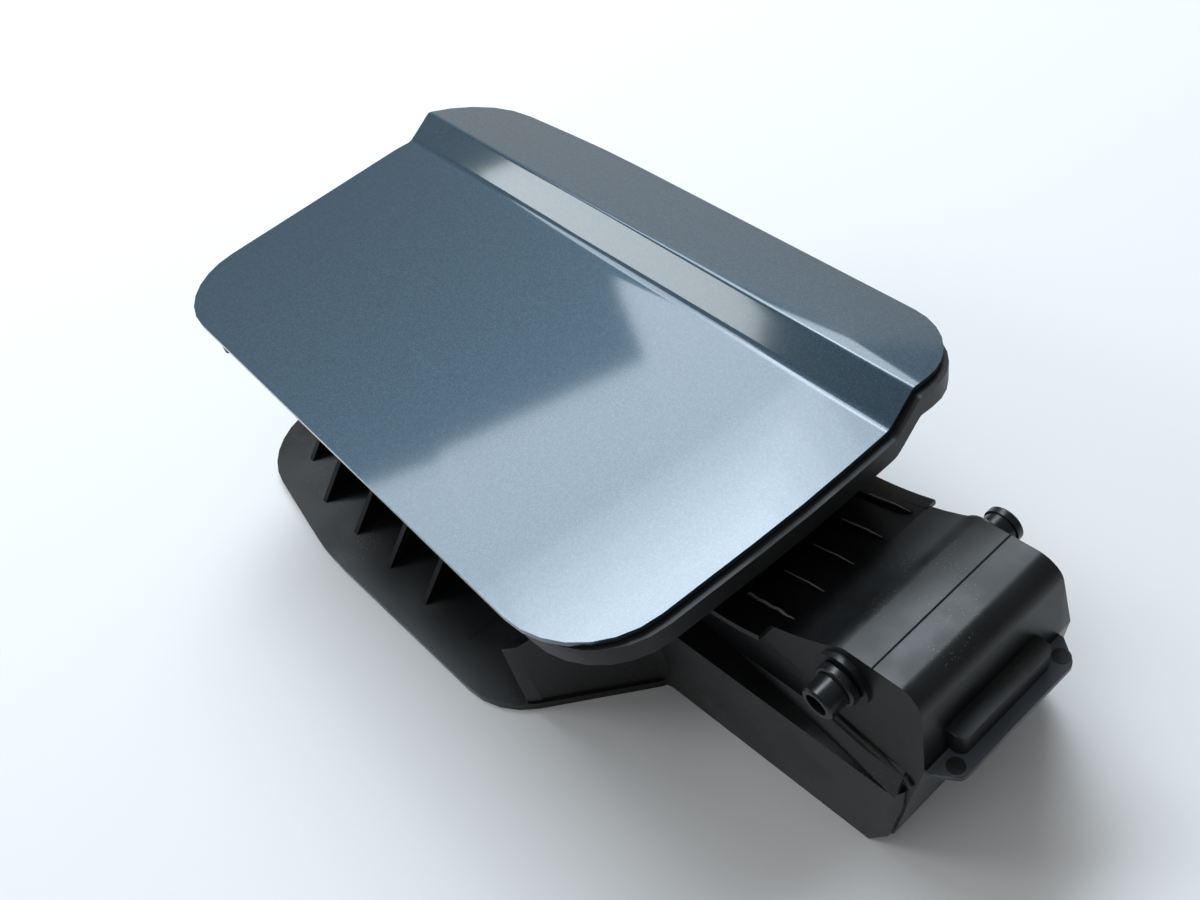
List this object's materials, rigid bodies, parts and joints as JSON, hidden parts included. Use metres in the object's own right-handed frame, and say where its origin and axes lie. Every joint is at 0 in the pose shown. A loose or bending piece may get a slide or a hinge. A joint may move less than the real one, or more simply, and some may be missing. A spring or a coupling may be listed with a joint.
{
  "type": "fuel filler flap",
  "caption": "Painted fuel filler flap on a gooseneck hinge, in a black moulded bowl with a wide mounting flange, a hinge pocket, a filler neck seal and a sliding lock pin.",
  "frame": {"origin": "centre of the bounding box's footprint, on the plane that the mounting flange's underside lies in", "axes": "+X along the flap towards its hinge, +Y across the flap towards its raised upper strip, +Z out of the vehicle"},
  "size_m": [0.2422, 0.131, 0.0766],
  "materials": {
    "paint": "slate blue-grey metallic paint with a clear coat",
    "carrier_plastic": "black moulded plastic, matt",
    "arm_plastic": "black glass-filled plastic, satin",
    "housing_plastic": "black moulded plastic, satin",
    "pin_plastic": "black moulded plastic, smooth",
    "nylon": "natural nylon",
    "zinc": "zinc-plated",
    "steel": "zinc-plated pressed steel",
    "spring_steel": "drawn spring wire",
    "rubber": "black rubber",
    "bush_plastic": "grey moulded plastic",
    "lock_plastic": "natural plastic"
  },
  "bodies": {
    "flap": {"flap_skin": "paint", "flap_carrier": "carrier_plastic", "hinge_arm": "arm_plastic", "arm_screw_1": "zinc", "arm_screw_2": "zinc", "arm_screw_3": "zinc", "arm_screw_4": "zinc", "latch_striker": "steel", "striker_screw": "zinc", "cap_holder": "carrier_plastic", "buffer_near": "rubber", "buffer_far": "rubber"},
    "mount": {"housing": "housing_plastic", "hinge_axle": "pin_plastic", "axle_clip": "pin_plastic", "washer_near": "nylon", "washer_far": "nylon", "hinge_spring": "spring_steel", "neck_seal": "rubber", "neck_ring": "pin_plastic", "drain_grommet": "rubber", "pin_bush": "bush_plastic"},
    "lock": {"lock_pin": "lock_plastic"}
  },
  "joints": [
    {"name": "flap_hinge", "type": "hinge", "parent": "mount", "child": "flap", "pos_m": [0.0941, 0.0078, 0.051], "axis": [0, 1, 0], "range_deg": [0, 80], "deforming": ["hinge_spring"]},
    {"name": "lock_slide", "type": "slide", "parent": "mount", "child": "lock", "axis": [1, 0, 0], "range_m": [0, 0.006]}
  ]
}
